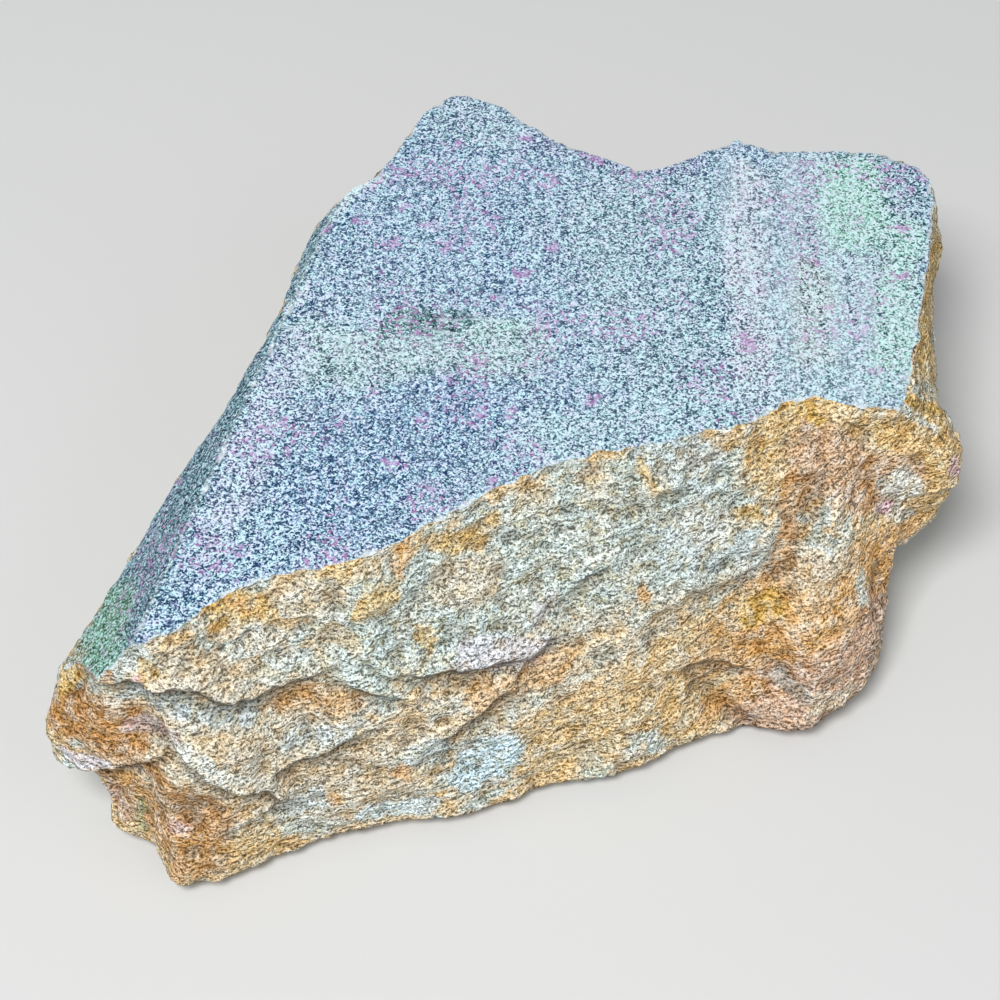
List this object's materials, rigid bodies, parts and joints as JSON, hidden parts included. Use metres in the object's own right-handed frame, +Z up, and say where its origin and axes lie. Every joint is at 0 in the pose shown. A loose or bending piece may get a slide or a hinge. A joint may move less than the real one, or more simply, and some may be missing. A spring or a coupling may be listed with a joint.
{
  "type": "ruby fuchsite kyanite stone",
  "caption": "Natural display stone of ruby fuchsite kyanite rock, with a sawn top face, a steep side facet and a weathered ledged rind, lying on a small flat spot.",
  "frame": {"origin": "middle of the stone's bounding box, on the surface that it lies on", "axes": "+X along its widest extent, to the right as seen from the weathered front; +Y away from that front, towards the peak; +Z up, square to the sawn top face"},
  "size_m": [0.1456, 0.1306, 0.045],
  "materials": {
    "rock": "fine sparkling grain, blue-grey to green where sawn and ochre where weathered"
  },
  "bodies": {
    "root": {"stone": "rock"}
  },
  "joints": []
}
